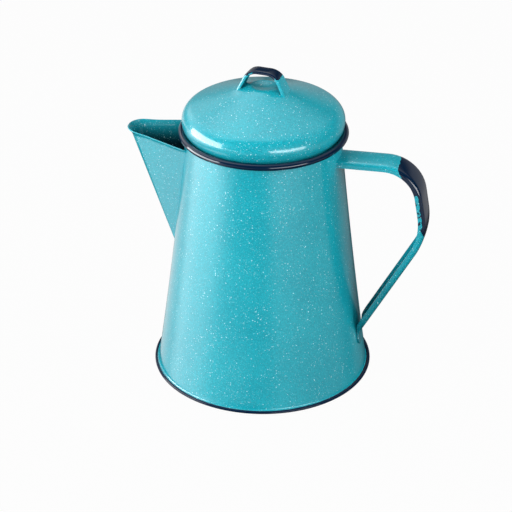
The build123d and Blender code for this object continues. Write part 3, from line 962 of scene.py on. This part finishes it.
class PERCOLATOR_OT_handle(bpy.types.Operator):
    """Build the strap handle with its dark dipped grip"""

    bl_idname = "percolator.handle"
    bl_label = "Handle"

    def execute(self, context):
        pot = context.scene.percolator_pot
        strap = context.scene.percolator_handle
        look = context.scene.percolator_enamel
        root_z = wall_top_z(pot) - strap.root_drop
        corner_z = root_z + (strap.reach - pot.wall_top_r) * tan(strap.top_slope)
        grip_low_z = corner_z - strap.grip_drop
        tab_z = strap.foot_z - strap.tab_drop
        root_r = wall_r(pot, root_z) - pot.sheet / 2
        foot_r = wall_r(pot, strap.foot_z) + strap.sheet
        tab_r = wall_r(pot, tab_z) + strap.sheet
        corners = [
            (root_r, 0, root_z),
            (strap.reach, 0, corner_z),
            (strap.reach + strap.grip_out, 0, grip_low_z),
            (foot_r, 0, strap.foot_z),
            (tab_r, 0, tab_z),
        ]
        bends = [strap.top_bend, strap.low_bend, strap.foot_bend]
        route = stations(rounded(corners, bends, BEND_STEPS), HANDLE_STEP)
        arm = (Vector(corners[2]) - Vector(corners[3])).normalized()

        def section_at(point):
            depth, narrowing = strap.depth, 0
            if point.z < grip_low_z:
                gap = (point.x - strap.sheet - wall_r(pot, point.z)) * arm.z
                depth = min(depth, max(LEAST_DEPTH * strap.sheet, gap + strap.sheet))
                rise = max(0, point.z - strap.foot_z)
                narrowing = smooth_step(1 - rise / strap.narrow_run)
            width = strap.width + (strap.tab_width - strap.width) * narrowing
            end_run = (point.z - tab_z) / (strap.tab_width / 3)
            if end_run < 1:
                width *= TAB_END + (1 - TAB_END) * sqrt(max(0, 1 - (1 - end_run) ** 2))
            return channel(width, depth, strap.edge_r, strap.crown * (1 - narrowing))

        sections, marks = swept_channel(route, section_at)
        for section in sections:
            for point in section:
                stand_off = TAB_GAP * strap.sheet if point.z < root_z / 2 else -pot.sheet / 2
                skin_r = wall_r(pot, point.z) + stand_off
                if hypot(point.x, point.y) < skin_r:
                    point.x = sqrt(max(0, skin_r**2 - point.y**2))
        for point in sections[0]:
            point.x = sqrt((wall_r(pot, point.z) - pot.sheet / 2) ** 2 - point.y**2)
        bm = lofted(sections)
        mark_turned(bm, sections, marks)
        face_away(bm, Vector((strap.reach - strap.top_bend, 0, grip_low_z)))
        # painted shade on the handle's low arm, darkening downwards from the dip's lower end
        thick = below(strap.dip_z, strap.arm_shade_run, strap.arm_shade_most)
        covers = (strap.low_cover, strap.high_cover, strap.covered_z)
        dip = dipped((strap.dip_x, 0, strap.dip_z), GRIP_DIP, strap.dip_wave, *covers)
        coat = enamel("handle enamel", look, dip, thick)
        made = piece("handle_strap", bm, "pot", ["handle"], coat)
        give_wall(made, strap.sheet, HANDLE_EDGE, offset=-1)
        return {"FINISHED"}


# ---- lid
DISH_STEPS = 10
CONE_RING = 1.2 * MM  # distance between the cone's rings of points
SHOULDER_STEPS = 20
WAIST_STEPS = 16
LIP_BEND_STEPS = 5
LID_DENTS = 8  # picks one pattern of dents


def cone_z(lid, r):
    """Height of the lid's outer face at a radius on its sloping top."""
    shoulder_x = lid.radius - lid.shoulder_r + lid.shoulder_r * sin(lid.cone_angle)
    shoulder_z = lid.wide_z + lid.shoulder_r * cos(lid.cone_angle)
    return shoulder_z + (shoulder_x - r) * tan(lid.cone_angle)


def raised_middle(lid, r):
    """How far the low step raises the lid at a radius."""
    return lid.step_rise * smooth_step((lid.step_r - r) / lid.step_width + 0.5)


class PERCOLATOR_OT_lid(bpy.types.Operator):
    """Build the domed lid and its collar"""

    bl_idname = "percolator.lid"
    bl_label = "Lid"

    def execute(self, context):
        lid = context.scene.percolator_lid
        look = context.scene.percolator_enamel
        half = lid.sheet / 2
        shoulder = (lid.radius - lid.shoulder_r, lid.wide_z)
        waist = (lid.radius - lid.waist_r, lid.wide_z)
        dish_z = cone_z(lid, lid.dish_r) - half
        points = []
        for step in range(DISH_STEPS):
            share = step / DISH_STEPS
            drop = lid.dish_depth * (1 - share**2) ** 2
            points.append((lid.dish_r * share, dish_z - drop))
        cone_low = (
            shoulder[0] + (lid.shoulder_r - half) * sin(lid.cone_angle),
            shoulder[1] + (lid.shoulder_r - half) * cos(lid.cone_angle),
        )
        cone_r = lid.dish_r + lid.dish_ease
        cone_top = (cone_r, cone_low[1] + (cone_low[0] - cone_r) * tan(lid.cone_angle))
        points.append((lid.dish_r, dish_z))
        points += [tuple(point) for point in stations([cone_top, cone_low], CONE_RING)[:-1]]
        points = [(r, z + raised_middle(lid, r)) for r, z in points]
        cone_turn = pi / 2 - lid.cone_angle
        points += arc_points(shoulder, lid.shoulder_r - half, cone_turn, 0, SHOULDER_STEPS)
        points += arc_points(waist, lid.waist_r - half, 0, -lid.waist_turn, WAIST_STEPS)[1:]
        curl_on(points, -lid.waist_turn - pi / 2, lid.lip_bend, lid.waist_turn, LIP_BEND_STEPS)
        points.append((points[-1][0], points[-1][1] - lid.lip_drop))
        bm = spun(points)
        face_away(bm, Vector((0, 0, lid.wide_z)))
        stray(bm, lid.dent, lid.dent_span, LID_DENTS)
        made = piece("lid_shell", bm, "lid", ["lid_dome"], enamel("lid enamel", look))
        give_wall(made, lid.sheet, SOFT_EDGE)

        collar_r = collar_high.x - half
        collar = spun([(collar_r, collar_low.z), (collar_r, collar_high.z)])
        face_away(collar, Vector((0, 0, collar_low.z)))
        coat = enamel("collar enamel", look)
        made = piece("collar_ring", collar, "lid", ["lid_collar"], coat)
        give_wall(made, lid.sheet, SOFT_EDGE)
        return {"FINISHED"}


class PERCOLATOR_OT_lid_strap(bpy.types.Operator):
    """Build the strap pull on the lid"""

    bl_idname = "percolator.lid_strap"
    bl_label = "Lid Strap"

    def execute(self, context):
        lid = context.scene.percolator_lid
        strap = context.scene.percolator_strap
        look = context.scene.percolator_enamel
        leg_x = strap.half_top
        for _ in range(ROOT_ROUNDS):
            leg_x = strap.half_top + (strap.top_z - cone_z(lid, leg_x)) / tan(strap.leg_angle)
        right = [(strap.half_top, 0, strap.top_z), (leg_x, 0, cone_z(lid, leg_x))]
        left = [(-x, 0, z) for x, _, z in reversed(right)]
        route = stations(rounded(left + right, [strap.bend, strap.bend], BEND_STEPS), PULL_STEP)

        def section_at(point):
            span = min(1, abs(point.x) / leg_x)
            width = strap.top_width + (strap.foot_width - strap.top_width) * span**2
            return channel(width, strap.depth, strap.edge_r, strap.crown)

        sections, marks = swept_channel(route, section_at)
        for section in sections:
            for point in section:
                skin_z = cone_z(lid, hypot(point.x, point.y)) - lid.sheet / 2
                point.z = max(point.z, skin_z)
        bm = lofted(sections)
        mark_turned(bm, sections, marks)
        face_away(bm, Vector((0, 0, lid.wide_z)))
        bmesh.ops.rotate(bm, verts=bm.verts, matrix=Matrix.Rotation(lid.turned, 3, "Z"))
        covers = (strap.low_cover, strap.high_cover, strap.top_z)
        dip = dipped((0, 0, strap.top_z - strap.dip_depth), (0, 0, 1), strap.dip_wave, *covers)
        coat = enamel("strap enamel", look, dip)
        made = piece("strap_pull", bm, "lid", ["lid_strap"], coat)
        give_wall(made, strap.sheet, SOFT_EDGE, offset=-1)
        return {"FINISHED"}


# ---- works
WORKS = ("pump_foot", "pump_tube", "stop_ring", "basket_cup", "basket_sleeve", "spreader")


class PERCOLATOR_OT_works(bpy.types.Operator):
    """Finish the aluminium works inside the pot"""

    bl_idname = "percolator.works"
    bl_label = "Works"

    def execute(self, context):
        metal = aluminium("satin aluminium", context.scene.percolator_metal)
        for name in WORKS:
            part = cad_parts[name]
            part.data.materials.clear()
            part.data.materials.append(metal)
        return {"FINISHED"}


# ---- stage
def degrees(*angles):
    """Angles given in degrees."""
    return tuple(radians(angle) for angle in angles)


# Bearings run round the pot from the camera's side, with left negative. Rise, across and ahead
# are how far a direction points up, to the camera's right and towards the camera.
LAMPS = (
    # name, bearing and height in degrees, then distance, width and height in metres, and watts
    ("key lamp", -58, 18, 1.3, 0.9, 0.5, 15.0),
    ("side lamp", 73, 22, 1.3, 0.9, 0.5, 8.6),
    ("fill lamp", 12, 20, 1.3, 0.9, 0.5, 4.5),
    ("top lamp", -118, 66, 1.2, 1.8, 1.4, 5.5),
)
SOFTBOXES = (
    ("left softbox", -84, 1, 0.68, 0.72, 0.38, 11),
    ("right softbox", 32, -2, 0.95, 0.85, 0.28, 8),
)
LAMP_AIM = (0, 0, 0.16)
SOFTBOX_AIM = (0, 0, 0.19)
FLOOR_HALF = 6
SENSOR_WIDTH = 36
CLIP = (0.05, 50)

FLOOR_RISE = (-0.58, -0.46, -0.2, -0.1)
# strength of each patch of the studio in the gloss, and where it starts, is full, fades and ends
GLOWS = (
    (
        3.1,
        {
            "bearing": degrees(-138, -104, -10, 0),
            "slant": degrees(-250, -200, -66, -30),
            "rise": (-0.64, -0.32, -0.2, -0.1),
        },
    ),
    (0.95, {"bearing": degrees(-75, -55, -22, 0), "rise": (-0.6, -0.4, -0.31, -0.27)}),
    (2.0, {"bearing": degrees(-115, -95, -70, -50), "rise": (-0.86, -0.76, -0.66, -0.56)}),
    (0.9, {"bearing": degrees(-185, -160, -125, -100), "rise": FLOOR_RISE}),
    (0.45, {"bearing": degrees(-70, -30, 10, 35), "rise": (-0.54, -0.42, -0.30, -0.26)}),
    (0.62, {"bearing": degrees(0, 18, 75, 122), "rise": FLOOR_RISE}),
    (0.3, {"rise": (-0.3, -0.15, 0.2, 0.45), "ahead": (-2.0, -1.5, -0.7, -0.3)}),
    (0.3, {"bearing": degrees(112, 128, 148, 164), "rise": (-0.5, -0.38, 0.1, 0.3)}),
    (
        1.8,
        {
            "rise": (0.0, 0.35, 2.0, 3.0),
            "across": (-3.0, -2.0, -0.5, -0.15),
            "ahead": (-3.0, -2.0, -0.3, 0.1),
        },
    ),
)
SLANT_RISE = -0.27  # rise at which a slant is the bearing itself
SLANT = 3.5  # radians that it turns as the rise goes from 0 to 1
# ranges of a direction, and the strengths at their ends
CEILING = {"rise": (0.42, 0.82), "across": (-0.3, 0.45, 2.3, 0.9), "ahead": (0.45, 0.05)}
AMBIENT = {"across": (-0.7, 0.7, 0.48, 0.27), "rise": (-0.1, 0.5, 0.5, 1.1)}
DARK_ROOM = 0.03  # strength between the patches


def away_from(azimuth, elevation):
    """Direction away from the pot; azimuth 0 is towards -Y."""
    return Vector((sin(azimuth) * cos(elevation), -cos(azimuth) * cos(elevation), sin(elevation)))


def lamp(front, aim, name, turned, rise, distance, width, height, power):
    """A soft lamp that faces a point and doesn't show in the gloss."""
    data = bpy.data.lights.new(name, "AREA")
    data.shape = "RECTANGLE"
    data.size, data.size_y = width, height
    data.energy = power
    made = bpy.data.objects.new(name, data)
    away = away_from(front + radians(turned), radians(rise))
    made.location = Vector(aim) + away * distance
    made.rotation_euler = away.to_track_quat("Z", "Y").to_euler()
    made.visible_camera = False
    made.visible_glossy = False
    bpy.context.scene.collection.objects.link(made)
    return made


def softbox(*settings):
    """A lamp that shows in the gloss only."""
    made = lamp(*settings)
    made.visible_glossy = True
    made.visible_diffuse = False


def product(tree, values):
    """Values multiplied together."""
    total = values[0]
    for value in values[1:]:
        total = maths(tree, "MULTIPLY", total, value)
    return total


def bump_over(tree, value, start, full, fade, end):
    """1 between full and fade, easing to 0 at the start and the end."""
    return product(tree, [ramp(tree, value, start, full), ramp(tree, value, fade, end, 1, 0)])


def seen_straight(tree, path):
    """1 for what the camera sees straight or through glass."""
    return maths(tree, "MAXIMUM", path.outputs["Is Camera Ray"], path.outputs["Is Transmission Ray"])


def direction_measures(tree, azimuth):
    """How a direction lies to the pot and the camera, by name."""
    direction = add_node(tree, "TexCoord").outputs["Generated"]
    across = dot(tree, direction, (cos(azimuth), sin(azimuth), 0))
    ahead = dot(tree, direction, (sin(azimuth), -cos(azimuth), 0))
    bearing = maths(tree, "ARCTAN2", across, ahead)
    rise = height_of(tree, direction)
    lean = maths(tree, "MULTIPLY", maths(tree, "SUBTRACT", SLANT_RISE, rise), SLANT)
    slant = maths(tree, "ADD", bearing, lean)
    return {"across": across, "ahead": ahead, "bearing": bearing, "rise": rise, "slant": slant}


def make_floor(studio):
    """A pale floor that is white to the camera and keeps a faint shadow."""
    bm = bmesh.new()
    bmesh.ops.create_grid(bm, x_segments=1, y_segments=1, size=FLOOR_HALF)
    floor = as_object("floor", bm)
    floor.visible_glossy = False

    material = bpy.data.materials.new("pale floor")
    material.use_nodes = True
    tree = material.node_tree
    tree.nodes.clear()
    path = add_node(tree, "LightPath")
    tone = opaque([studio.floor_tone] * 3)
    matte = add_node(tree, "BsdfDiffuse", {"Color": tone})
    white = add_node(tree, "Emission", {"Color": (1, 1, 1, 1), "Strength": 1})
    share = maths(tree, "MULTIPLY", seen_straight(tree, path), studio.floor_white)
    mixed = add_node(tree, "MixShader", {0: share, 1: matte.outputs[0], 2: white.outputs[0]})
    add_node(tree, "OutputMaterial", {"Surface": mixed.outputs[0]})
    floor.data.materials.append(material)


def make_world(context, studio):
    """White behind the pot, soft light from all round, and a darker studio in the gloss."""
    world = bpy.data.worlds.new("studio")
    world.use_nodes = True
    context.scene.world = world
    tree = world.node_tree
    tree.nodes.clear()
    path = add_node(tree, "LightPath")
    measures = direction_measures(tree, studio.azimuth)

    def ramps(limits):
        return [ramp(tree, measures[key], *edges) for key, edges in limits.items()]

    glossy = product(tree, ramps(CEILING))
    for strength, limits in GLOWS:
        shares = [bump_over(tree, measures[key], *edges) for key, edges in limits.items()]
        glossy = maths(tree, "MAXIMUM", glossy, product(tree, [*shares, strength]))
    glossy = maths(tree, "ADD", glossy, DARK_ROOM)
    glossy = maths(tree, "MULTIPLY", path.outputs["Is Glossy Ray"], glossy)
    ambient = product(tree, [path.outputs["Is Diffuse Ray"], *ramps(AMBIENT)])
    strength = maths(tree, "ADD", maths(tree, "ADD", seen_straight(tree, path), glossy), ambient)
    white = add_node(tree, "Background", {"Color": (1, 1, 1, 1), "Strength": strength})
    add_node(tree, "OutputWorld", {"Surface": white.outputs[0]})


def make_camera(context, studio):
    """The camera, standing off from the pot's middle."""
    data = bpy.data.cameras.new("camera")
    data.lens = studio.lens
    data.sensor_width = SENSOR_WIDTH
    data.clip_start, data.clip_end = CLIP
    camera = bpy.data.objects.new("camera", data)
    camera.location = Vector((0, 0, studio.aim_z))
    camera.location += away_from(studio.azimuth, studio.elevation) * studio.distance
    turn_to = Matrix.Rotation(studio.azimuth - studio.yaw, 3, "Z")
    turn_to @= Matrix.Rotation(pi / 2 - studio.pitch, 3, "X")
    turn_to @= Matrix.Rotation(studio.roll, 3, "Z")
    camera.rotation_euler = turn_to.to_euler()
    context.scene.collection.objects.link(camera)
    context.scene.camera = camera


class PERCOLATOR_OT_stage(bpy.types.Operator):
    """Set up the floor, the backdrop, the lamps and the camera"""

    bl_idname = "percolator.stage"
    bl_label = "Stage"

    def execute(self, context):
        studio = context.scene.percolator_studio
        make_floor(studio)
        make_world(context, studio)
        for settings in LAMPS:
            lamp(studio.azimuth, LAMP_AIM, *settings)
        for settings in SOFTBOXES:
            softbox(studio.azimuth, SOFTBOX_AIM, *settings)
        make_camera(context, studio)
        context.scene.view_settings.view_transform = "Standard"
        return {"FINISHED"}


# ---- panel
SETTINGS = {
    "percolator_pot": PotSizes,
    "percolator_spout": SpoutSizes,
    "percolator_handle": HandleSizes,
    "percolator_lid": LidSizes,
    "percolator_strap": StrapSizes,
    "percolator_enamel": EnamelLook,
    "percolator_metal": MetalLook,
    "percolator_studio": StudioSettings,
}
OPERATORS = (
    PERCOLATOR_OT_pot,
    PERCOLATOR_OT_base,
    PERCOLATOR_OT_spout,
    PERCOLATOR_OT_handle,
    PERCOLATOR_OT_lid,
    PERCOLATOR_OT_lid_strap,
    PERCOLATOR_OT_works,
    PERCOLATOR_OT_stage,
)


class VIEW3D_PT_percolator(bpy.types.Panel):
    """Lists the percolator's pieces and their sizes"""

    bl_label = "Coffee Percolator"
    bl_space_type = "VIEW_3D"
    bl_region_type = "UI"
    bl_category = "Percolator"

    def draw(self, context):
        for operator in OPERATORS:
            self.layout.operator(operator.bl_idname)
        for settings, group in SETTINGS.items():
            box = self.layout.box()
            box.label(text=group.__doc__)
            for key in group.__annotations__:
                box.prop(getattr(context.scene, settings), key)


def register():
    """Registers the settings, the operators and the panel."""
    for settings, group in SETTINGS.items():
        bpy.utils.register_class(group)
        setattr(bpy.types.Scene, settings, bpy.props.PointerProperty(type=group))
    for listed in (*OPERATORS, VIEW3D_PT_percolator):
        bpy.utils.register_class(listed)


def unregister():
    """Takes everything back out."""
    for listed in (VIEW3D_PT_percolator, *reversed(OPERATORS)):
        bpy.utils.unregister_class(listed)
    for settings, group in reversed(SETTINGS.items()):
        delattr(bpy.types.Scene, settings)
        bpy.utils.unregister_class(group)


def main():
    """Builds the percolator and its stage."""
    register()
    bpy.ops.percolator.pot()
    bpy.ops.percolator.base()
    bpy.ops.percolator.spout()
    bpy.ops.percolator.handle()
    bpy.ops.percolator.lid()
    bpy.ops.percolator.lid_strap()
    bpy.ops.percolator.works()
    bpy.ops.percolator.stage()


if __name__ == "__main__":
    main()
